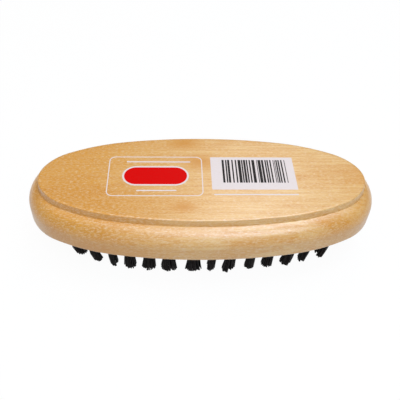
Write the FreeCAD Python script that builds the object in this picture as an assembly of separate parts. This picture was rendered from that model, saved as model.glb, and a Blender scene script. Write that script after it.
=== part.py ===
"""Oval shoe shine brush: a moulded wooden block with bristle tufts held in drilled holes by wire anchors.

Millimetres, +Z up, +X along the brush. The origin is at the middle of the plane of the bristle tips.
"""
import FreeCAD, Part
import math
import os
from collections import namedtuple

# Wooden block: its plan is an oval of arcs that run smoothly into each other
BLOCK_LENGTH = 130.0
BLOCK_WIDTH = 55.4
BLOCK_HEIGHT = 15.2
END_RADIUS = 20.3
END_ARC_REACH = 63.7  # degrees from the long axis to where an end arc runs into a haunch arc
HAUNCH_ARC_REACH = 81.2  # degrees from the long axis to where a haunch arc runs into a side arc

# Edge moulding of the block, from the top plate down
PLATE_EDGE_CHAMFER = 0.5
STEP_HEIGHT = 2.9
STEP_INSET = 5.25
SHOULDER_RADIUS = 6.65
UNDERSIDE_EDGE_CHAMFER = 1.0

# Drilled tuft field: cross rows whose outermost tufts follow the oval, closed by a pair at each end
FIELD_INSET = 6.5  # outline to the middle of the outermost tufts
END_PAIR_MARGIN = 10.3  # end of the block to the end pair
END_ROW_MARGIN = 18.2  # end of the block to the nearest full row
LEFT_ROWS = 6  # full rows to the left of the field's wider gap
RIGHT_ROWS = 8
WIDE_GAP = 9.4
WIDE_GAP_X = -8.1  # middle of the wider gap
END_PAIR_PITCH = 7.2
TUFT_PITCH = 9.5  # along a full row, as near as whole gaps allow
HOLE_DIAMETER = 3.6
HOLE_DEPTH = 8.5
ROUND_SIDES = 8  # flats that stand for the round of each hole and tuft

# Bristle tufts
BRISTLE_LENGTH = 14.8  # underside of the block to the tips
TUFT_CLEARANCE = 0.1  # to the wall and the floor of the hole
TIP_DIAMETER = 4.8

# Wire anchors, each in the fold of its tuft
ANCHOR_THICKNESS = 0.4
ANCHOR_WIDTH = 1.6
ANCHOR_BITE = 0.3  # driven into the wood at each end
ANCHOR_CLEARANCE = 0.05  # to the bristles round it
FOLD_THICKNESS = 1.2  # bristle between the anchor and the end of the tuft

# Levels and radii that follow from the sizes above
TIP_LEVEL = 0.0
UNDERSIDE = TIP_LEVEL + BRISTLE_LENGTH
TOP = UNDERSIDE + BLOCK_HEIGHT
STEP_FOOT = TOP - STEP_HEIGHT
SIDE_TOP = STEP_FOOT - math.sqrt(SHOULDER_RADIUS ** 2 - (SHOULDER_RADIUS - STEP_INSET) ** 2)
HOLE_FLOOR = UNDERSIDE + HOLE_DEPTH
TUFT_END = HOLE_FLOOR - TUFT_CLEARANCE
ANCHOR_TOP = TUFT_END - FOLD_THICKNESS
ANCHOR_BOTTOM = ANCHOR_TOP - ANCHOR_WIDTH
STEM_DIAMETER = HOLE_DIAMETER - 2 * TUFT_CLEARANCE
END_PAIR_X = BLOCK_LENGTH / 2 - END_PAIR_MARGIN
END_ROW_X = BLOCK_LENGTH / 2 - END_ROW_MARGIN

ORIGIN = FreeCAD.Vector(0, 0, 0)
UP = FreeCAD.Vector(0, 0, 1)

Arc = namedtuple("Arc", "x y radius start end")


def oval_arcs():
    """The outline's arcs, counter-clockwise. Angles are those of the outward normal from +X."""
    end = math.radians(END_ARC_REACH)
    haunch = math.radians(HAUNCH_ARC_REACH)
    half_turn = math.pi

    # The haunch and side radii are those that give the block its length and width
    along_left = BLOCK_LENGTH / 2 - END_RADIUS * (1 - math.cos(end))
    across_left = BLOCK_WIDTH / 2 - END_RADIUS * math.sin(end)
    haunch_along = math.cos(end) - math.cos(haunch)
    haunch_across = math.sin(haunch) - math.sin(end)
    side_along = math.cos(haunch)
    side_across = 1 - math.sin(haunch)
    share = haunch_along * side_across - side_along * haunch_across
    haunch_radius = (along_left * side_across - side_along * across_left) / share
    side_radius = (haunch_along * across_left - along_left * haunch_across) / share

    end_x = BLOCK_LENGTH / 2 - END_RADIUS
    haunch_x = end_x + (END_RADIUS - haunch_radius) * math.cos(end)
    haunch_y = (END_RADIUS - haunch_radius) * math.sin(end)
    side_y = BLOCK_WIDTH / 2 - side_radius
    return [
        Arc(end_x, 0, END_RADIUS, -end, end),
        Arc(haunch_x, haunch_y, haunch_radius, end, haunch),
        Arc(0, side_y, side_radius, haunch, half_turn - haunch),
        Arc(-haunch_x, haunch_y, haunch_radius, half_turn - haunch, half_turn - end),
        Arc(-end_x, 0, END_RADIUS, half_turn - end, half_turn + end),
        Arc(-haunch_x, -haunch_y, haunch_radius, half_turn + end, half_turn + haunch),
        Arc(0, -side_y, side_radius, half_turn + haunch, 2 * half_turn - haunch),
        Arc(haunch_x, -haunch_y, haunch_radius, 2 * half_turn - haunch, 2 * half_turn - end),
    ]


def oval_face(inset, level):
    """Flat face inside the outline, drawn in by inset."""
    edges = []
    for arc in oval_arcs():
        centre = FreeCAD.Vector(arc.x, arc.y, level)
        start = math.degrees(arc.start)
        end = math.degrees(arc.end)
        edges.append(Part.makeCircle(arc.radius - inset, centre, UP, start, end))
    return Part.Face(Part.Wire(edges))


def arc_edge(centre, radius, first, last):
    """Arc in the XZ plane between two points of a circle, the short way round."""
    middle = (first + last) * 0.5 - centre
    middle.multiply(radius / middle.Length)
    return Part.Arc(first, centre + middle, last).toShape()


def moulding(outline_radius):
    """Section of the block's edge from underside to top plate, at a radius from the Z axis."""

    def point(inset, level):
        return FreeCAD.Vector(outline_radius - inset, 0, level)

    underside_edge = point(UNDERSIDE_EDGE_CHAMFER, UNDERSIDE)
    side_foot = point(0, UNDERSIDE + UNDERSIDE_EDGE_CHAMFER)
    side_top = point(0, SIDE_TOP)
    wall_foot = point(STEP_INSET, STEP_FOOT)
    wall_top = point(STEP_INSET, TOP - PLATE_EDGE_CHAMFER)
    plate_edge = point(STEP_INSET + PLATE_EDGE_CHAMFER, TOP)

    # The shoulder runs smoothly into the upright side
    shoulder_centre = point(SHOULDER_RADIUS, SIDE_TOP)

    return Part.Wire([
        Part.makeLine(underside_edge, side_foot),
        Part.makeLine(side_foot, side_top),
        arc_edge(shoulder_centre, SHOULDER_RADIUS, side_top, wall_foot),
        Part.makeLine(wall_foot, wall_top),
        Part.makeLine(wall_top, plate_edge),
    ])


def sewn_solid(faces):
    """Solid inside faces that close up edge to edge."""
    skin = Part.Compound(faces)
    skin.sewShape()
    solid = Part.Solid(skin.Shells[0])
    if solid.Volume < 0:
        solid.reverse()
    return solid


def plain_block():
    """The block before drilling: its moulding is turned about the centre of each arc of the oval."""
    faces = [
        oval_face(STEP_INSET + PLATE_EDGE_CHAMFER, TOP),
        oval_face(UNDERSIDE_EDGE_CHAMFER, UNDERSIDE),
    ]
    for arc in oval_arcs():
        section = moulding(arc.radius)
        section.rotate(ORIGIN, UP, math.degrees(arc.start))
        edge = section.revolve(ORIGIN, UP, math.degrees(arc.end - arc.start))
        edge.translate(FreeCAD.Vector(arc.x, arc.y, 0))
        faces.extend(edge.Faces)
    return sewn_solid(faces)


def field_half_width(x):
    """Distance from the long axis to the outermost tuft of the row at x."""
    for arc in oval_arcs():
        radius = arc.radius - FIELD_INSET
        left = arc.x + radius * math.cos(arc.end)
        right = arc.x + radius * math.cos(max(arc.start, 0))
        if left <= abs(x) <= right:
            return arc.y + math.sqrt(radius ** 2 - (abs(x) - arc.x) ** 2)


def even_places(first, last, count):
    """Places from first to last with equal gaps."""
    return [first + (last - first) * number / (count - 1) for number in range(count)]


def end_pair(x):
    """Places of the two tufts that close the field at one end."""
    return [(x, -END_PAIR_PITCH / 2), (x, END_PAIR_PITCH / 2)]


def tuft_rows():
    """Tuft places, as one list of (x, y) for each cross row, from -X to +X."""
    left = even_places(-END_ROW_X, WIDE_GAP_X - WIDE_GAP / 2, LEFT_ROWS)
    right = even_places(WIDE_GAP_X + WIDE_GAP / 2, END_ROW_X, RIGHT_ROWS)
    rows = []
    for x in left + right:
        half_width = field_half_width(x)
        gaps = max(1, round(2 * half_width / TUFT_PITCH))
        rows.append([(x, y) for y in even_places(-half_width, half_width, gaps + 1)])
    return [end_pair(-END_PAIR_X)] + rows + [end_pair(END_PAIR_X)]


def set_at(shape, places):
    """Copies of a shape at each (x, y)."""
    return [shape.translated(FreeCAD.Vector(x, y, 0)) for x, y in places]


def round_section(diameter, level):
    """Corners of the many-sided section that stands for a circle, with flats towards +Y and -Y."""
    step = 2 * math.pi / ROUND_SIDES
    radius = diameter / 2 / math.cos(step / 2)
    corners = []
    for number in range(ROUND_SIDES):
        angle = math.pi / 2 + step * (number + 0.5)
        corners.append(FreeCAD.Vector(radius * math.cos(angle), radius * math.sin(angle), level))
    return corners


def flat_sided(sections):
    """Solid through sections of as many corners, with flat faces between them."""
    faces = []
    for corners in (sections[0], sections[-1]):
        faces.append(Part.Face(Part.makePolygon(corners + corners[:1])))
    for lower, upper in zip(sections, sections[1:]):
        for this, after in zip(range(-1, ROUND_SIDES - 1), range(ROUND_SIDES)):
            side = [lower[this], lower[after], upper[after], upper[this], lower[this]]
            faces.append(Part.Face(Part.makePolygon(side)))
    return sewn_solid(faces)


def upright_box(thickness, length, bottom, top):
    """Box about the Z axis with its length along Y."""
    corner = FreeCAD.Vector(-thickness / 2, -length / 2, bottom)
    return Part.makeBox(thickness, length, top - bottom, corner)


def anchor():
    """Flat wire across the hole, longer than the hole by its bite at each end."""
    return upright_box(ANCHOR_THICKNESS, HOLE_DIAMETER + 2 * ANCHOR_BITE, ANCHOR_BOTTOM, ANCHOR_TOP)


def hole():
    """What one tuft takes out of the block: a blind hole, and the cuts that the anchor makes in its wall."""
    mouth = UNDERSIDE - HOLE_DIAMETER
    drilled = flat_sided([round_section(HOLE_DIAMETER, mouth), round_section(HOLE_DIAMETER, HOLE_FLOOR)])
    return drilled.fuse(anchor())


def tuft():
    """Folded bundle: a stem in the hole, with the anchor's way through it, that spreads towards the tips."""
    bundle = flat_sided([
        round_section(STEM_DIAMETER, TUFT_END),
        round_section(STEM_DIAMETER, UNDERSIDE),
        round_section(TIP_DIAMETER, TIP_LEVEL),
    ])
    fold = upright_box(
        ANCHOR_THICKNESS + 2 * ANCHOR_CLEARANCE,
        HOLE_DIAMETER,
        ANCHOR_BOTTOM - ANCHOR_CLEARANCE,
        ANCHOR_TOP + ANCHOR_CLEARANCE,
    )
    return bundle.cut(fold)


def handle_block():
    """The block with its tuft holes."""
    places = [place for row in tuft_rows() for place in row]
    return plain_block().cut(Part.Compound(set_at(hole(), places)))


def main():
    os.makedirs("parts", exist_ok=True)
    nodes = {"handle_block": handle_block()}
    for number, places in enumerate(tuft_rows(), start=1):
        nodes[f"tuft_row_{number:02d}"] = Part.Compound(set_at(tuft(), places))
        nodes[f"anchor_row_{number:02d}"] = Part.Compound(set_at(anchor(), places))
    for name, shape in nodes.items():
        shape.exportStep(f"parts/{name}.step")
        print(name, "solids", len(shape.Solids), "volume", round(shape.Volume, 2), "valid", shape.isValid())


main()
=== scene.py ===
import math
import random

import bmesh
import bpy
from mathutils import Matrix, Vector


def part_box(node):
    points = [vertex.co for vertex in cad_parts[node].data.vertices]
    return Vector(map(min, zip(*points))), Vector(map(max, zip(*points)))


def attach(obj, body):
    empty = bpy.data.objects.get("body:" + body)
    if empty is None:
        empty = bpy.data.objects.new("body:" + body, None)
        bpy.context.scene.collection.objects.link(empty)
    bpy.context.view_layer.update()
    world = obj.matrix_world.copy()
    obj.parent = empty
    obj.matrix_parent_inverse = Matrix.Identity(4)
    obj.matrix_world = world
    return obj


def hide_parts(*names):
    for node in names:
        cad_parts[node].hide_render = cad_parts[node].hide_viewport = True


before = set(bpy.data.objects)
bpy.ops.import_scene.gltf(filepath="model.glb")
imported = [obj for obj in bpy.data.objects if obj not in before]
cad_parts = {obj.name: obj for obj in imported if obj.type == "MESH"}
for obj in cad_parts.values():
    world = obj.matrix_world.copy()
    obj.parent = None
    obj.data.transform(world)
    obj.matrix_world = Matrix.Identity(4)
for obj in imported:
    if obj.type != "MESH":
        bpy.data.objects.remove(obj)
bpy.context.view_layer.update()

# Levels and reach of the block, from the frame
block_low, block_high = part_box("handle_block")
UNDERSIDE = block_low.z
TOP = block_high.z
HALF_LENGTH = (block_high.x - block_low.x) / 2
HALF_WIDTH = (block_high.y - block_low.y) / 2

# Outline of the block: end, haunch and side arcs that meet without a corner
END_RADIUS = 0.0203
END_ARC_REACH = math.radians(63.7)
HAUNCH_ARC_REACH = math.radians(81.2)
OUTLINE_STEP = 0.0009

# Moulding round the block
STEP_HEIGHT = 0.0029
SHOULDER_DROP = 0.0065
SIDE_STEP_INSET = 0.0057
TIP_STEP_INSET = 0.0044
TIP_INSET_POWER = 6
WALL_DRAFT = 0.0003
HAUNCH_DRAFT = 0.0002
SHOULDER_RADIUS = 0.00665
SHOULDER_STEPS = 16
PLATE_EDGE_WIDTH = 0.0010
PLATE_EDGE_DROP = 0.00042
PLATE_EDGE_STEPS = 10
UNDERSIDE_EDGE_ROUND = 0.0011
UNDERSIDE_EDGE_STEPS = 6
SUPPORT = 0.0003
SIDE_TOP = TOP - STEP_HEIGHT - SHOULDER_DROP

# Edges that part smooth shading
SHARP_ANGLE = math.radians(32)
BRISTLE_SHARP_ANGLE = math.radians(75)

# Holes
HOLE_RADIUS = 0.0018
HOLE_BREAK = 0.00012
HOLE_DEPTH = 0.0087
HOLE_SIDES = 20

# Filaments, and how they fill a hole and fold over its wire
FILAMENT_RADIUS = 0.00018
FILAMENT_SPACING = 0.00034
FILAMENT_SIDES = 5
FILAMENT_THICKNESS = (0.9, 1.05)
STEM_RADIUS = 0.00162
STEM_SHARE = (0.95, 1.02)
STEM_CLOSED_SHARE = 0.25
WIRE_SIDE_SPACINGS = 1.05
FOLD_HEIGHT = 0.0012
FOLD_RISE = 0.7
FOLD_SHARES = (0.25, 0.5, 0.75)
LEG_SHARES = (1.0, 0.7, 0.4, 0.12)

# Tips of a tuft: spread, trim and the clumps that its filaments gather in
TIP_SPREAD = 1.25
TIP_DEPTH_SHARE = (0.9, 1.15)
TIP_WIDTH_SHARE = (0.85, 1.4)
TIP_THICKNESS = 0.95
TIP_THICKNESS_SPREAD = 0.35
TIP_SLANT_ALONG = 0.14
TIP_SLANT_ACROSS = 0.10
TIP_LEVEL = (0.0005, 0.0010)
TIP_CROWN = 0.0007
TIP_CROWN_POWER = 3
TIP_SCATTER = 0.00012
TWIST = (0.2, 0.5)
CLUMP_COUNT = (3, 5)
CLUMP_REACH = (0.2, 0.95)
CLUMP_PULL = 0.20
CLUMP_RAGGED = (0.00015, 0.00050)
RAGGED_LENGTH = 0.00006
STRAY_CHANCE = 0.008
STRAY_REACH = (0.15, 0.45)
TUFT_LEAN = 0.0003

# Seeds of the random draws: one for each tuft, and one for the bars
SEED = 41
ROW_SEEDS = 100

# First row with a tuft that shows at the near edge, and how far inwards the tips of all such tufts lean
NEAR_FIRST_ROW = 2
NEAR_LEAN = 0.0011

# Those tufts from the left: width at the tips, lean to the left and further inwards, bow to the left
NEAR_TUFTS = (
    (0.0044, -0.0002, 0.0014, 0.0014),
    (0.0031, -0.0002, 0.0003, 0.0013),
    (0.0030, 0.0003, 0.0, 0.0007),
    (0.0046, 0.0010, 0.0, 0.0004),
    (0.0061, 0.0009, 0.0, 0.0),
    (0.0066, 0.0, 0.0, 0.0),
    (0.0060, 0.0, 0.0, 0.0),
    (0.0031, 0.0007, 0.0, 0.0),
    (0.0052, 0.0012, 0.0, 0.0),
    (0.0037, 0.0003, 0.0, -0.0002),
    (0.0043, 0.0006, 0.0, 0.0),
    (0.0047, 0.0004, 0.0, -0.0007),
    (0.0027, 0.0008, 0.0, -0.0005),
    (0.0040, 0.0004, 0.0, -0.0008),
)

# Print on the plate
INK_THICKNESS = 0.00003
SAME_PLACE = 1e-7
FRAME_LEFT = -0.03526
FRAME_RIGHT = -0.0003
FRAME_BOTTOM = -0.01019
FRAME_TOP = 0.0108
FRAME_LINE = 0.00036
FRAME_CORNER = 0.0024
FRAME_CORNER_STEPS = 10
PANEL_LEFT = 0.0029
PANEL_RIGHT = 0.03438
PANEL_BOTTOM = -0.00689
PANEL_TOP = 0.01063
PANEL_CORNER = 0.0003
PANEL_CORNER_STEPS = 3
BADGE_CENTRE = (-0.0177, 0.0003)
BADGE_LENGTH = 0.0232
BADGE_HEIGHT = 0.0090
BADGE_EDGE = 0.0007
CAPSULE_STEPS = 16

# Rules in place of lines of words, as middle and length
RULE_HEIGHT = 0.0006
RULES = (
    ((-0.0167, 0.0079), 0.0240),
    ((-0.0173, -0.0074), 0.0145),
    ((0.0188, -0.0094), 0.0308),
)

# Bars of random widths and gaps, counted in units
BARS_LEFT = 0.0072
BARS_RIGHT = 0.0324
BARS_BOTTOM = -0.0033
BARS_TOP = 0.0091
BAR_UNITS = 95
BAR_WIDTHS = (1, 2, 2, 3, 4)
BAR_GAPS = (1, 1, 2, 2, 3)
BAR_CORNER_UNITS = 0.2
BAR_CORNER_STEPS = 1

# Wood colours, a painted sheen and painted glints, and the places and reach of darker patches
HONEY = (0.640, 0.310, 0.045, 1)
# Painted sheen: the paler, whiter colour that the wood fades to towards +X stands for the lamps' light on the
# lacquer there
PALE_SHEEN = (0.720, 0.475, 0.185, 1)
DARK_HONEY = (0.560, 0.225, 0.010, 1)
# Painted glints: pale specks that stand for the sparkle of light in the lacquer, and also vary the wood's
# tone finely
GLINT = (0.72, 0.53, 0.32, 1)
DARK_PATCHES = (
    ((-0.0066, 0.0190, 0.030), (0.009, 0.005, 0.006)),
    ((-0.0074, -0.0155, 0.030), (0.007, 0.0035, 0.006)),
    ((-0.0010, 0.0080, 0.030), (0.010, 0.006, 0.006)),
    # The last two patches darken the right end of the block and the lower front of its left end
    ((0.0720, -0.0100, 0.016), (0.034, 0.034, 0.020)),
    ((-0.0450, -0.0260, 0.014), (0.036, 0.014, 0.010)),
)

# Wood figure, painted sheen and painted glints: noises, and ranges as (from low, from high, to low, to high)
# Drift wobbles where the painted sheen begins along X
DRIFT_NOISE = {"scale": (14.0, 34.0, 34.0), "detail": 3.0}
DRIFT_RANGE = (0.3, 0.7, -0.022, 0.022)
PALE_SHEEN_RANGE = (-0.046, 0.012, 0.0, 1.0)
CLOUD_NOISE = {"scale": (38.0, 85.0, 85.0), "detail": 4.0, "roughness": 0.6, "distortion": 0.3}
CLOUD_RANGE = (0.46, 0.70, 0.0, 0.8)
STREAK_NOISE = {"scale": (22.0, 900.0, 900.0), "detail": 4.0, "roughness": 0.65, "distortion": 0.3}
STREAK_RANGE = (0.40, 0.62, 0.0, 0.62)
FLECK_NOISE = {"scale": (180.0, 2600.0, 2600.0), "detail": 3.0, "roughness": 0.6}
FLECK_RANGE = (0.45, 0.64, 0.0, 0.5)
GLINT_NOISE = {"scale": (800.0, 2600.0, 2600.0), "detail": 2.0, "roughness": 0.7}
GLINT_RANGE = (0.47, 0.66, 0.0, 0.65)
PATCH_RANGE = (0.1, 1.0, 0.85, 0.0)

# Lacquer
WORN_NOISE = {"scale": (160.0, 260.0, 260.0), "detail": 4.0}
WORN_RANGE = (0.3, 0.7, 0.30, 0.42)
PEEL_NOISE = {"scale": (1200.0, 2800.0, 2800.0), "detail": 3.0, "roughness": 0.6}
PEEL_BUMP = {"strength": 0.18, "distance": 0.0002}
GRAIN_BUMP = {"strength": 0.12, "distance": 0.0001}
LACQUER = {"Specular IOR Level": 0.2, "Coat Weight": 0.6, "Coat Roughness": 0.30, "Coat IOR": 2.0}

# Bristle material
BRISTLE_BLACK = (0.0022, 0.0018, 0.0020, 1)
BRISTLE_BROWN = (0.015, 0.0098, 0.0090, 1)
BRISTLE_TINT_NOISE = {"scale": (1600.0, 1600.0, 120.0), "detail": 2.0}
BRISTLE_TINT_RANGE = (0.4, 0.7, 0.0, 1.0)
BRISTLE_ROUGH_NOISE = {"scale": (1200.0, 1200.0, 300.0), "detail": 2.0}
BRISTLE_ROUGH_RANGE = (0.3, 0.7, 0.5, 0.68)
BRISTLE_DRAWN_NOISE = {"scale": (6000.0, 6000.0, 400.0), "detail": 2.0}
BRISTLE_BUMP = {"strength": 0.15, "distance": 0.00005}
BRISTLE_SHINE = 0.10

# Wire material
WIRE_DARK = (0.42, 0.41, 0.40, 1)
WIRE_PALE = (0.58, 0.57, 0.55, 1)
WIRE_NOISE = {"scale": (5000.0, 200.0, 5000.0), "detail": 3.0}
WIRE_ROUGH_RANGE = (0.3, 0.7, 0.25, 0.45)
WIRE_BUMP = {"strength": 0.2, "distance": 0.00003}

# Inks, as full colour, colour where thin, roughness and shine
WHITE_INK = ((0.680, 0.602, 0.585, 1), (0.66, 0.57, 0.50, 1), 0.45, 0.3)
RED_INK = ((0.60, 0.001, 0.001, 1), (0.56, 0.008, 0.006, 1), 0.45, 0.06)
DARK_INK = ((0.012, 0.009, 0.009, 1), (0.07, 0.058, 0.052, 1), 0.5, 0.2)
INK_NOISE = {"scale": (900.0, 1500.0, 1500.0), "detail": 5.0, "roughness": 0.65}
INK_RANGE = (0.52, 0.75, 0.0, 1.0)
INK_THIN_ROUGHER = 0.15
INK_GRAIN_NOISE = {"scale": (2500.0, 2500.0, 2500.0), "detail": 2.0}
INK_BUMP = {"strength": 0.1, "distance": 0.00003}

# Floor and surroundings
FLOOR_SIZE = 8.0
FLOOR_BOUNCE = 0.40
FLOOR_SHADE = 0.88
FLOOR_WHITE_SHARE = 0.95
SURROUNDINGS = 0.20
WHITE = (1, 1, 1, 1)

# Lamps, as name, place, size across and upwards, power and colour
LAMPS = (
    ("key", (0.22, -0.46, 0.66), (0.36, 0.36), 2.1, (0.86, 0.99, 1.20)),
    ("high", (0.23, 0.06, 0.80), (0.36, 0.36), 2.05, (0.91, 1.0, 1.16)),
    ("middle", (-0.02, -0.20, 0.78), (0.30, 0.36), 1.05, (0.82, 1.0, 1.15)),
    ("near", (-0.02, -0.46, 0.66), (0.30, 0.36), 0.6, (1, 1, 1)),
    ("overhead", (-0.30, 0.05, 0.72), (0.64, 0.64), 1.15, (1.25, 1.0, 0.70)),
    ("top", (0.12, 0.44, 0.62), (0.16, 0.20), 0.65, (1, 1, 1)),
    ("front", (0.0, -0.70, 0.30), (0.60, 0.50), 0.9, (1, 1, 1)),
)

# Camera, as fitted to the photograph of 400 by 400 pixels
CAMERA_PITCH = math.radians(46.0)
CAMERA_YAW = 0.0703
CAMERA_ROLL = 0.0508
CAMERA_DISTANCE = 0.20191
CAMERA_ACROSS = 0.0013057
CAMERA_UP = 0.0087443
CAMERA_CLIP = 0.01
FOCAL_PIXELS = 545.24
PHOTO_PIXELS = 400.0
SENSOR = 36.0


def oval_quarter():
    """Arcs of a quarter of the outline: centre x and y, radius, first and last direction."""
    end_cos, end_sin = math.cos(END_ARC_REACH), math.sin(END_ARC_REACH)
    haunch_cos, haunch_sin = math.cos(HAUNCH_ARC_REACH), math.sin(HAUNCH_ARC_REACH)
    end_x = HALF_LENGTH - END_RADIUS
    terms = Matrix(((haunch_cos - end_cos, -haunch_cos), (haunch_sin - end_sin, 1 - haunch_sin)))
    sums = Vector((-end_x - END_RADIUS * end_cos, HALF_WIDTH - END_RADIUS * end_sin))
    haunch_radius, side_radius = terms.inverted() @ sums
    haunch_x = end_x + (END_RADIUS - haunch_radius) * end_cos
    haunch_y = (END_RADIUS - haunch_radius) * end_sin
    return [
        (end_x, 0.0, END_RADIUS, 0.0, END_ARC_REACH),
        (haunch_x, haunch_y, haunch_radius, END_ARC_REACH, HAUNCH_ARC_REACH),
        (0.0, HALF_WIDTH - side_radius, side_radius, HAUNCH_ARC_REACH, math.pi / 2),
    ]


def outline_stations():
    """Stations round the oval: centre x and y, radius and direction, anticlockwise from +X."""
    quarter = []
    for x, y, radius, start, end in oval_quarter():
        steps = round(radius * (end - start) / OUTLINE_STEP)
        quarter.extend((x, y, radius, start + (end - start) * step / steps) for step in range(steps))
    quarter.append((x, y, radius, end))
    onward, backward = quarter[:-1], quarter[:0:-1]
    stations = list(onward)
    stations += [(-x, y, radius, math.pi - turn) for x, y, radius, turn in backward]
    stations += [(-x, -y, radius, math.pi + turn) for x, y, radius, turn in onward]
    stations += [(x, -y, radius, 2 * math.pi - turn) for x, y, radius, turn in backward]
    return stations


def arc_points(centre, radius, start, end, steps):
    """Points along an arc in the plane of outward distance and height, both ends included."""
    turns = [start + (end - start) * step / steps for step in range(steps + 1)]
    return [(centre[0] + radius * math.cos(turn), centre[1] + radius * math.sin(turn)) for turn in turns]


def step_inset(turn):
    """How far the step lies inside the outline in one direction: less at the tips than along the sides."""
    return SIDE_STEP_INSET + (TIP_STEP_INSET - SIDE_STEP_INSET) * math.cos(turn) ** TIP_INSET_POWER


def wall_draft(turn):
    """How far the foot of the step's wall stands outside its top in one direction: most at the haunches."""
    return WALL_DRAFT + HAUNCH_DRAFT * math.sin(2 * turn) ** 2


def moulding(inset, draft):
    """Section of the edge from the plate to the underside, as (outward distance from the side, height)."""
    foot = inset - draft
    drop = math.sqrt(SHOULDER_RADIUS ** 2 - (SHOULDER_RADIUS - foot) ** 2)
    foot_turn = math.atan2(drop, SHOULDER_RADIUS - foot)
    plate = -inset - PLATE_EDGE_WIDTH
    points = [(plate - SUPPORT, TOP)]
    for outward, rise in arc_points((0, 0), 1, math.pi / 2, 0, PLATE_EDGE_STEPS):
        points.append((plate + PLATE_EDGE_WIDTH * outward, TOP - PLATE_EDGE_DROP * (1 - rise)))
    points += [(-foot - draft * SUPPORT / STEP_HEIGHT, SIDE_TOP + drop + SUPPORT)]
    points += arc_points((-SHOULDER_RADIUS, SIDE_TOP), SHOULDER_RADIUS, foot_turn, 0, SHOULDER_STEPS)
    low = UNDERSIDE + UNDERSIDE_EDGE_ROUND
    points += [(0.0, (SIDE_TOP + low) / 2)]
    points += arc_points(
        (-UNDERSIDE_EDGE_ROUND, low), UNDERSIDE_EDGE_ROUND, 0, -math.pi / 2, UNDERSIDE_EDGE_STEPS)
    points += [(-UNDERSIDE_EDGE_ROUND - SUPPORT, UNDERSIDE)]
    return points


def join_rings(bm, upper, lower):
    """Faces between two rings of as many vertices."""
    for number in range(len(upper)):
        after = (number + 1) % len(upper)
        bm.faces.new((upper[number], lower[number], lower[after], upper[after]))


def closed_edges(bm, ring):
    """Edges round a ring of vertices, made where they are missing."""
    edges = []
    for this, after in zip(ring, ring[1:] + ring[:1]):
        edges.append(bm.edges.get((this, after)) or bm.edges.new((this, after)))
    return edges


def circle(bm, centre, radius, level):
    """Ring of vertices for one hole."""
    ring = []
    for number in range(HOLE_SIDES):
        turn = 2 * math.pi * number / HOLE_SIDES
        x = centre.x + radius * math.cos(turn)
        y = centre.y + radius * math.sin(turn)
        ring.append(bm.verts.new((x, y, level)))
    return ring


def piece(name, bm, material, sharp=SHARP_ANGLE):
    """Object from a mesh, with smooth faces that part at sharp edges, riding on the frame."""
    bmesh.ops.recalc_face_normals(bm, faces=bm.faces)
    mesh = bpy.data.meshes.new(name)
    bm.to_mesh(mesh)
    bm.free()
    mesh.shade_smooth()
    mesh.set_sharp_from_angle(angle=sharp)
    mesh.materials.append(material)
    made = bpy.data.objects.new(name, mesh)
    bpy.context.scene.collection.objects.link(made)
    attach(made, "root")
    return made


def tuft_rows():
    """Places of the holes in each cross row, by the row's number, from the wires across them."""
    rows = {}
    for name in sorted(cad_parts):
        if not name.startswith("anchor_row_"):
            continue
        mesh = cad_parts[name].data
        middles = []
        for face in mesh.polygons:
            reach = [mesh.vertices[corner].co.y for corner in face.vertices]
            if max(reach) - min(reach) > HOLE_RADIUS:
                middles.append((max(reach) + min(reach)) / 2)
        low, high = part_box(name)
        holes = []
        for middle in sorted(middles):
            if not holes or middle - holes[-1].y > HOLE_RADIUS:
                holes.append(Vector(((low.x + high.x) / 2, middle, UNDERSIDE)))
        rows[name[-2:]] = holes
    return rows


def make_block(rows, material):
    """The wooden block: swept moulding, flat plate, flat underside and round blind holes."""
    bm = bmesh.new()
    sections = []
    for x, y, radius, turn in outline_stations():
        section = []
        for outward, level in moulding(step_inset(turn), wall_draft(turn)):
            reach = radius + outward
            section.append(bm.verts.new((x + reach * math.cos(turn), y + reach * math.sin(turn), level)))
        sections.append(section)
    rings = [list(ring) for ring in zip(*sections)]
    for upper, lower in zip(rings, rings[1:]):
        join_rings(bm, upper, lower)
    bmesh.ops.triangle_fill(bm, use_beauty=True, edges=closed_edges(bm, rings[0]))
    mouths = closed_edges(bm, rings[-1])
    for row in rows.values():
        for hole in row:
            mouth = circle(bm, hole, HOLE_RADIUS + HOLE_BREAK, UNDERSIDE)
            wall = circle(bm, hole, HOLE_RADIUS, UNDERSIDE + HOLE_BREAK)
            floor = circle(bm, hole, HOLE_RADIUS, UNDERSIDE + HOLE_DEPTH)
            join_rings(bm, mouth, wall)
            join_rings(bm, wall, floor)
            bm.faces.new(floor)
            mouths += closed_edges(bm, mouth)
    bmesh.ops.triangle_fill(bm, use_beauty=True, edges=mouths)
    block = piece("block", bm, material)
    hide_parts("handle_block")


def tube(bm, path, radii):
    """Round filament along a path, closed at both ends."""
    rings = []
    side = None
    for number, point in enumerate(path):
        before, after = path[max(number - 1, 0)], path[min(number + 1, len(path) - 1)]
        along = (after - before).normalized()
        if side is None:
            side = along.orthogonal()
        side = (side - along * side.dot(along)).normalized()
        across = along.cross(side)
        ring = []
        for corner in range(FILAMENT_SIDES):
            turn = 2 * math.pi * corner / FILAMENT_SIDES
            offset = side * math.cos(turn) + across * math.sin(turn)
            ring.append(bm.verts.new(point + offset * radii[number]))
        rings.append(ring)
    for upper, lower in zip(rings, rings[1:]):
        join_rings(bm, upper, lower)
    bm.faces.new(rings[0])
    bm.faces.new(rings[-1])


def stem_lattice():
    """Places of the filaments in one half of a hole, as (across, along) from the middle of the wire."""
    places = []
    across = FILAMENT_SPACING * WIRE_SIDE_SPACINGS
    while across < STEM_RADIUS:
        reach = math.sqrt(STEM_RADIUS ** 2 - across ** 2)
        count = int(2 * reach / FILAMENT_SPACING) + 1
        first = -(count - 1) / 2 * FILAMENT_SPACING
        places.extend((across, first + number * FILAMENT_SPACING) for number in range(count))
        across += FILAMENT_SPACING * math.sqrt(3) / 2
    return places


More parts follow.
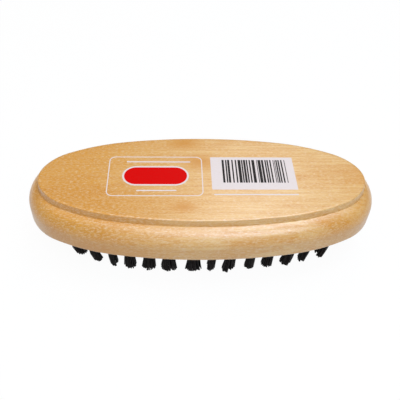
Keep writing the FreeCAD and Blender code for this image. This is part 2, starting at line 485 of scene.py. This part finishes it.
def tip_clumps(ragged, chance):
    """Places in a stem that its filaments gather at, each with how much higher its filaments end."""
    clumps = []
    for number in range(chance.randint(*CLUMP_COUNT)):
        turn = chance.uniform(0, 2 * math.pi)
        reach = STEM_RADIUS * chance.uniform(*CLUMP_REACH)
        place = Vector((reach * math.cos(turn), reach * math.sin(turn)))
        clumps.append((place, chance.gauss(0, ragged)))
    return clumps


def fold_points(across, along, level):
    """Points of a filament's fold over the wire, between its two legs."""
    rise = FILAMENT_SPACING + FOLD_RISE * (across - FILAMENT_SPACING)
    turns = [math.pi * share for share in FOLD_SHARES]
    return [Vector((across * math.cos(turn), along, level + rise * math.sin(turn))) for turn in turns]


def leg_points(stem, end, end_level, bow):
    """Points of a filament's leg from its tip up into the hole, bowed most halfway down."""
    points = []
    for share in LEG_SHARES:
        place = stem.lerp(end, share) + bow * 4 * share * (1 - share)
        points.append(Vector((place.x, place.y, UNDERSIDE + (end_level - UNDERSIDE) * share)))
    points.append(Vector((stem.x, stem.y, UNDERSIDE + HOLE_DEPTH * STEM_CLOSED_SHARE)))
    return points


def make_tuft(bm, hole, lean, bow, width, chance):
    """One tuft: filaments folded over the wire, closing up below it, spreading under the block, trimmed."""
    spread = Vector((width / 2 / STEM_RADIUS, TIP_SPREAD * chance.uniform(*TIP_DEPTH_SHARE)))
    slant = Vector((chance.gauss(0, TIP_SLANT_ALONG), chance.gauss(0, TIP_SLANT_ACROSS)))
    level = chance.uniform(*TIP_LEVEL)
    ragged = chance.uniform(*CLUMP_RAGGED)
    twist = Matrix.Rotation(chance.uniform(*TWIST), 2)
    clumps = tip_clumps(ragged, chance)
    middle = Vector((hole.x, hole.y, 0))
    fold_level = UNDERSIDE + HOLE_DEPTH - FOLD_HEIGHT - FILAMENT_SPACING
    slot = FILAMENT_SPACING / 2
    for across, along in stem_lattice():
        closed = (across - slot) * STEM_RADIUS / (STEM_RADIUS - slot)
        legs = []
        for way in (1, -1):
            stem = Vector((way * closed, along)) * chance.uniform(*STEM_SHARE)
            clump, higher = min(clumps, key=lambda made: (made[0] - stem).length)
            scatter = Vector((chance.gauss(0, TIP_SCATTER), chance.gauss(0, TIP_SCATTER)))
            end = (twist @ stem.lerp(clump, CLUMP_PULL) + scatter) * spread + lean
            if chance.random() < STRAY_CHANCE:
                end += stem * chance.uniform(*STRAY_REACH)
            end_level = level + higher + slant.dot(stem) + RAGGED_LENGTH * chance.random() ** 2
            end_level += TIP_CROWN * (stem.length / STEM_RADIUS) ** TIP_CROWN_POWER
            leg = leg_points(stem, end, max(end_level, FILAMENT_RADIUS), bow)
            legs.append(leg + [Vector((way * across, along, fold_level))])
        path = legs[0] + fold_points(across, along, fold_level) + legs[1][::-1]
        thick = FILAMENT_RADIUS * chance.uniform(*FILAMENT_THICKNESS)
        tip = thick * (TIP_THICKNESS + TIP_THICKNESS_SPREAD * spread.x)
        radii = [tip] + [thick] * (len(path) - 2) + [tip]
        tube(bm, [point + middle for point in path], radii)


def make_bristles(rows, material):
    """One piece for each cross row of tufts. Those that show at the near edge have the forms seen there."""
    for number, row in rows.items():
        bm = bmesh.new()
        for place, hole in enumerate(row):
            chance = random.Random(SEED + ROW_SEEDS * int(number) + place)
            lean = Vector((chance.gauss(0, TUFT_LEAN), chance.gauss(0, TUFT_LEAN)))
            bow = Vector((0, 0))
            width = 2 * STEM_RADIUS * TIP_SPREAD * chance.uniform(*TIP_WIDTH_SHARE)
            seen = int(number) - NEAR_FIRST_ROW
            if place == 0 and 0 <= seen < len(NEAR_TUFTS):
                width, to_left, inwards, bow_left = NEAR_TUFTS[seen]
                lean = Vector((-to_left, inwards + NEAR_LEAN))
                bow = Vector((-bow_left, 0))
            make_tuft(bm, hole, lean, bow, width, chance)
        bristles = piece("bristle_row_" + number, bm, material, BRISTLE_SHARP_ANGLE)
        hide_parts("tuft_row_" + number)


def rounded_loop(left, right, bottom, top, radius, steps):
    """Corners of a rectangle with rounded corners, anticlockwise, each place once."""
    loop = []
    centres = ((right - radius, top - radius), (left + radius, top - radius),
               (left + radius, bottom + radius), (right - radius, bottom + radius))
    for quarter, (x, y) in enumerate(centres):
        for step in range(steps + 1):
            turn = math.pi / 2 * (quarter + step / steps)
            loop.append((x + radius * math.cos(turn), y + radius * math.sin(turn)))
    earlier = loop[-1:] + loop[:-1]
    return [spot for spot, before in zip(loop, earlier) if math.dist(spot, before) > SAME_PLACE]


def capsule(centre, length, height, grow=0.0):
    """Loop of a bar with round ends."""
    x, y = centre
    half, rise = length / 2 + grow, height / 2 + grow
    return rounded_loop(x - half, x + half, y - rise, y + rise, rise, CAPSULE_STEPS)


def ink_ring(bm, loop, level):
    """Vertices of a loop at one level."""
    return [bm.verts.new((x, y, level)) for x, y in loop]


def ink_area(bm, loop, base):
    """Thin closed patch of ink inside a loop."""
    low, high = ink_ring(bm, loop, base), ink_ring(bm, loop, base + INK_THICKNESS)
    join_rings(bm, low, high)
    bm.faces.new(low)
    bm.faces.new(high)


def ink_line(bm, outer, inner, base):
    """Thin closed band of ink between two loops of as many corners."""
    top = base + INK_THICKNESS
    corners = ((outer, base), (outer, top), (inner, top), (inner, base))
    rings = [ink_ring(bm, loop, level) for loop, level in corners]
    for this, after in zip(rings, rings[1:] + rings[:1]):
        join_rings(bm, this, after)


def make_frame_print(material):
    """Thin frame, the edge of the badge, and rules in place of words."""
    bm = bmesh.new()
    outer = rounded_loop(FRAME_LEFT, FRAME_RIGHT, FRAME_BOTTOM, FRAME_TOP, FRAME_CORNER, FRAME_CORNER_STEPS)
    inner = rounded_loop(FRAME_LEFT + FRAME_LINE, FRAME_RIGHT - FRAME_LINE, FRAME_BOTTOM + FRAME_LINE,
                         FRAME_TOP - FRAME_LINE, FRAME_CORNER - FRAME_LINE, FRAME_CORNER_STEPS)
    ink_line(bm, outer, inner, TOP)
    badge = capsule(BADGE_CENTRE, BADGE_LENGTH, BADGE_HEIGHT)
    ink_line(bm, capsule(BADGE_CENTRE, BADGE_LENGTH, BADGE_HEIGHT, BADGE_EDGE), badge, TOP)
    for middle, length in RULES:
        ink_area(bm, capsule(middle, length, RULE_HEIGHT), TOP)
    piece("print_frame", bm, material)


def make_badge_print(material):
    """Plain badge."""
    bm = bmesh.new()
    ink_area(bm, capsule(BADGE_CENTRE, BADGE_LENGTH, BADGE_HEIGHT), TOP)
    piece("print_badge", bm, material)


def make_panel_print(material):
    """Panel that the bars stand on."""
    bm = bmesh.new()
    panel = rounded_loop(PANEL_LEFT, PANEL_RIGHT, PANEL_BOTTOM, PANEL_TOP, PANEL_CORNER, PANEL_CORNER_STEPS)
    ink_area(bm, panel, TOP)
    piece("print_panel", bm, material)


def make_bars_print(material):
    """Row of bars of random widths, which stand for no number."""
    bm = bmesh.new()
    chance = random.Random(SEED)
    unit = (BARS_RIGHT - BARS_LEFT) / BAR_UNITS
    place = 0
    while place < BAR_UNITS - 1:
        width = min(chance.choice(BAR_WIDTHS), BAR_UNITS - place)
        left = BARS_LEFT + unit * place
        right = left + unit * width
        bar = rounded_loop(left, right, BARS_BOTTOM, BARS_TOP, unit * BAR_CORNER_UNITS, BAR_CORNER_STEPS)
        ink_area(bm, bar, TOP + INK_THICKNESS)
        place += width + chance.choice(BAR_GAPS)
    piece("print_bars", bm, material)


def set_sockets(tree, made, sockets):
    """A node's inputs set to values, or linked to the sockets of other nodes."""
    for name, value in sockets.items():
        if isinstance(value, bpy.types.NodeSocket):
            tree.links.new(value, made.inputs[name])
        else:
            made.inputs[name].default_value = value


def node(tree, kind, sockets=None, **settings):
    """Shader node with its settings and inputs."""
    made = tree.nodes.new(kind)
    for name, value in settings.items():
        setattr(made, name, value)
    set_sockets(tree, made, sockets or {})
    return made


def new_material(name):
    """Material with a lone Principled shader, as (material, tree, shader)."""
    material = bpy.data.materials.new(name)
    material.use_nodes = True
    return material, material.node_tree, material.node_tree.nodes["Principled BSDF"]


def noise(tree, scale, detail, roughness=0.55, distortion=0.0):
    """Noise in the object's own space, stretched by one scale for each axis."""
    place = node(tree, "ShaderNodeTexCoord").outputs["Object"]
    stretched = node(tree, "ShaderNodeMapping", {"Vector": place, "Scale": scale}).outputs["Vector"]
    made = node(tree, "ShaderNodeTexNoise", {
        "Vector": stretched, "Scale": 1.0, "Detail": detail, "Roughness": roughness,
        "Distortion": distortion})
    return made.outputs["Fac"]


def ranged(tree, value, low, high, to_low, to_high):
    """A value taken from one range to another, without going past its ends."""
    made = node(tree, "ShaderNodeMapRange", {
        "Value": value, "From Min": low, "From Max": high, "To Min": to_low, "To Max": to_high}, clamp=True)
    return made.outputs["Result"]


def blend(tree, share, first, second):
    """Two colours mixed by a share."""
    made = node(tree, "ShaderNodeMix", {0: share, 6: first, 7: second}, data_type="RGBA")
    return made.outputs[2]


def bump(tree, height, strength, distance, under=None):
    """Normal of a fine relief, laid on another relief where one is under it."""
    made = node(tree, "ShaderNodeBump", {"Strength": strength, "Distance": distance, "Height": height})
    if under is not None:
        set_sockets(tree, made, {"Normal": under})
    return made.outputs["Normal"]


def patch_distance(tree, place, middle, reach):
    """Distance from the middle of a patch, as a share of its reach."""
    away = node(tree, "ShaderNodeVectorMath", {0: place, 1: middle}, operation="SUBTRACT").outputs[0]
    away = node(tree, "ShaderNodeVectorMath", {0: away, 1: reach}, operation="DIVIDE").outputs[0]
    return node(tree, "ShaderNodeVectorMath", {0: away}, operation="LENGTH").outputs["Value"]


def lacquered_wood():
    """Honey-coloured wood with grain along X under a satin lacquer, with a painted sheen that pales it
    towards +X and pale specks of painted glint.
    """
    material, tree, shader = new_material("lacquered_wood")
    place = node(tree, "ShaderNodeTexCoord").outputs["Object"]
    along = node(tree, "ShaderNodeSeparateXYZ", {"Vector": place}).outputs["X"]
    drift = ranged(tree, noise(tree, **DRIFT_NOISE), *DRIFT_RANGE)
    along = node(tree, "ShaderNodeMath", {0: along, 1: drift}, operation="ADD").outputs[0]
    # Painted sheen: the wood is mixed towards the pale colour further along +X
    colour = blend(tree, ranged(tree, along, *PALE_SHEEN_RANGE), HONEY, PALE_SHEEN)
    clouds = ranged(tree, noise(tree, **CLOUD_NOISE), *CLOUD_RANGE)
    colour = blend(tree, clouds, colour, DARK_HONEY)
    streaks = ranged(tree, noise(tree, **STREAK_NOISE), *STREAK_RANGE)
    colour = blend(tree, streaks, colour, DARK_HONEY)
    flecks = ranged(tree, noise(tree, **FLECK_NOISE), *FLECK_RANGE)
    colour = blend(tree, flecks, colour, DARK_HONEY)
    # Painted glints: pale specks for the lacquer's sparkle of light
    glints = ranged(tree, noise(tree, **GLINT_NOISE), *GLINT_RANGE)
    colour = blend(tree, glints, colour, GLINT)
    for middle, reach in DARK_PATCHES:
        share = ranged(tree, patch_distance(tree, place, middle, reach), *PATCH_RANGE)
        colour = blend(tree, share, colour, DARK_HONEY)
    peel = bump(tree, noise(tree, **PEEL_NOISE), **PEEL_BUMP)
    set_sockets(tree, shader, {
        "Base Color": colour,
        "Roughness": ranged(tree, noise(tree, **WORN_NOISE), *WORN_RANGE),
        "Normal": bump(tree, streaks, **GRAIN_BUMP, under=peel),
        "Coat Normal": peel,
        **LACQUER,
    })
    return material


def black_bristle():
    """Black polypropylene with a soft shine, a little browner on some filaments."""
    material, tree, shader = new_material("black_bristle")
    tint = ranged(tree, noise(tree, **BRISTLE_TINT_NOISE), *BRISTLE_TINT_RANGE)
    set_sockets(tree, shader, {
        "Base Color": blend(tree, tint, BRISTLE_BLACK, BRISTLE_BROWN),
        "Roughness": ranged(tree, noise(tree, **BRISTLE_ROUGH_NOISE), *BRISTLE_ROUGH_RANGE),
        "Normal": bump(tree, noise(tree, **BRISTLE_DRAWN_NOISE), **BRISTLE_BUMP),
        "Specular IOR Level": BRISTLE_SHINE,
    })
    return material


def anchor_wire():
    """Drawn steel wire."""
    material, tree, shader = new_material("anchor_wire")
    lines = noise(tree, **WIRE_NOISE)
    set_sockets(tree, shader, {
        "Base Color": blend(tree, lines, WIRE_DARK, WIRE_PALE),
        "Roughness": ranged(tree, lines, *WIRE_ROUGH_RANGE),
        "Normal": bump(tree, lines, **WIRE_BUMP),
        "Metallic": 1.0,
    })
    return material


def ink(name, full, thin, rough, shine):
    """Printing ink, laid on a little unevenly and rougher where it is thin."""
    material, tree, shader = new_material(name)
    uneven = ranged(tree, noise(tree, **INK_NOISE), *INK_RANGE)
    set_sockets(tree, shader, {
        "Base Color": blend(tree, uneven, full, thin),
        "Roughness": ranged(tree, uneven, 0.0, 1.0, rough, rough + INK_THIN_ROUGHER),
        "Normal": bump(tree, noise(tree, **INK_GRAIN_NOISE), **INK_BUMP),
        "Specular IOR Level": shine,
    })
    return material


def seen_directly(tree):
    """One where the camera, a reflection or a clear view meets the surface, nought for the light it gives."""
    path = node(tree, "ShaderNodeLightPath")
    straight = node(tree, "ShaderNodeMath", {
        0: path.outputs["Is Camera Ray"], 1: path.outputs["Is Glossy Ray"]}, operation="MAXIMUM")
    clear = node(tree, "ShaderNodeMath", {
        0: straight.outputs[0], 1: path.outputs["Is Transmission Ray"]}, operation="MAXIMUM")
    return clear.outputs[0]


def grey(level):
    """Colour without a hue."""
    return level, level, level, 1


def make_floor():
    """Floor that looks white and keeps a soft shadow, and throws back less light than it shows."""
    bpy.ops.mesh.primitive_plane_add(size=FLOOR_SIZE, location=(0, 0, 0))
    floor = bpy.context.active_object
    floor.name = "floor"
    material = bpy.data.materials.new("floor")
    material.use_nodes = True
    tree = material.node_tree
    tree.nodes.clear()
    dull = node(tree, "ShaderNodeBsdfDiffuse", {"Color": grey(FLOOR_BOUNCE)}).outputs[0]
    pale = node(tree, "ShaderNodeBsdfDiffuse", {"Color": grey(FLOOR_SHADE)}).outputs[0]
    white = node(tree, "ShaderNodeEmission", {"Color": WHITE, "Strength": 1.0}).outputs[0]
    shown = node(tree, "ShaderNodeMixShader", {0: FLOOR_WHITE_SHARE, 1: pale, 2: white}).outputs[0]
    both = node(tree, "ShaderNodeMixShader", {0: seen_directly(tree), 1: dull, 2: shown}).outputs[0]
    node(tree, "ShaderNodeOutputMaterial", {"Surface": both})
    floor.data.materials.append(material)


def make_surroundings():
    """Soft light from all round, white where the camera looks past the floor."""
    world = bpy.data.worlds.new("surroundings")
    bpy.context.scene.world = world
    world.use_nodes = True
    tree = world.node_tree
    tree.nodes.clear()
    soft = node(tree, "ShaderNodeBackground", {"Color": WHITE, "Strength": SURROUNDINGS}).outputs[0]
    white = node(tree, "ShaderNodeBackground", {"Color": WHITE, "Strength": 1.0}).outputs[0]
    camera = node(tree, "ShaderNodeLightPath").outputs["Is Camera Ray"]
    both = node(tree, "ShaderNodeMixShader", {0: camera, 1: soft, 2: white}).outputs[0]
    node(tree, "ShaderNodeOutputWorld", {"Surface": both})


def make_light(name, place, size, power, colour):
    """Soft lamp turned to the brush, of one size across and one upwards."""
    lamp = bpy.data.lights.new(name, "AREA")
    lamp.shape = "RECTANGLE"
    lamp.size, lamp.size_y = size
    lamp.energy = power
    lamp.color = colour
    made = bpy.data.objects.new(name, lamp)
    made.location = place
    made.rotation_euler = (Vector((0, 0, TOP)) - Vector(place)).to_track_quat("-Z", "Y").to_euler()
    bpy.context.scene.collection.objects.link(made)


def make_camera():
    """Camera at the photograph's place: pitched down, a little turned and rolled."""
    turn = Matrix.Rotation(-CAMERA_YAW, 3, "Z")
    turn = turn @ Matrix.Rotation(math.pi / 2 - CAMERA_PITCH, 3, "X") @ Matrix.Rotation(CAMERA_ROLL, 3, "Z")
    seen_at = Vector((CAMERA_ACROSS, CAMERA_UP, -CAMERA_DISTANCE))
    lens = bpy.data.cameras.new("camera")
    lens.sensor_width = SENSOR
    lens.lens = FOCAL_PIXELS / PHOTO_PIXELS * SENSOR
    lens.clip_start = CAMERA_CLIP
    made = bpy.data.objects.new("camera", lens)
    made.location = Vector((0, 0, TOP)) - turn @ seen_at
    made.rotation_euler = turn.to_euler()
    bpy.context.scene.collection.objects.link(made)
    bpy.context.scene.camera = made


rows = tuft_rows()
wire = anchor_wire()
for number in rows:
    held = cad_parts["anchor_row_" + number]
    held.data.materials.clear()
    held.data.materials.append(wire)
make_block(rows, lacquered_wood())
make_bristles(rows, black_bristle())
white_ink = ink("white_ink", *WHITE_INK)
make_frame_print(white_ink)
make_badge_print(ink("red_ink", *RED_INK))
make_panel_print(white_ink)
make_bars_print(ink("dark_ink", *DARK_INK))
make_floor()
make_surroundings()
for lamp in LAMPS:
    make_light(*lamp)
make_camera()
bpy.context.scene.view_settings.view_transform = "Standard"
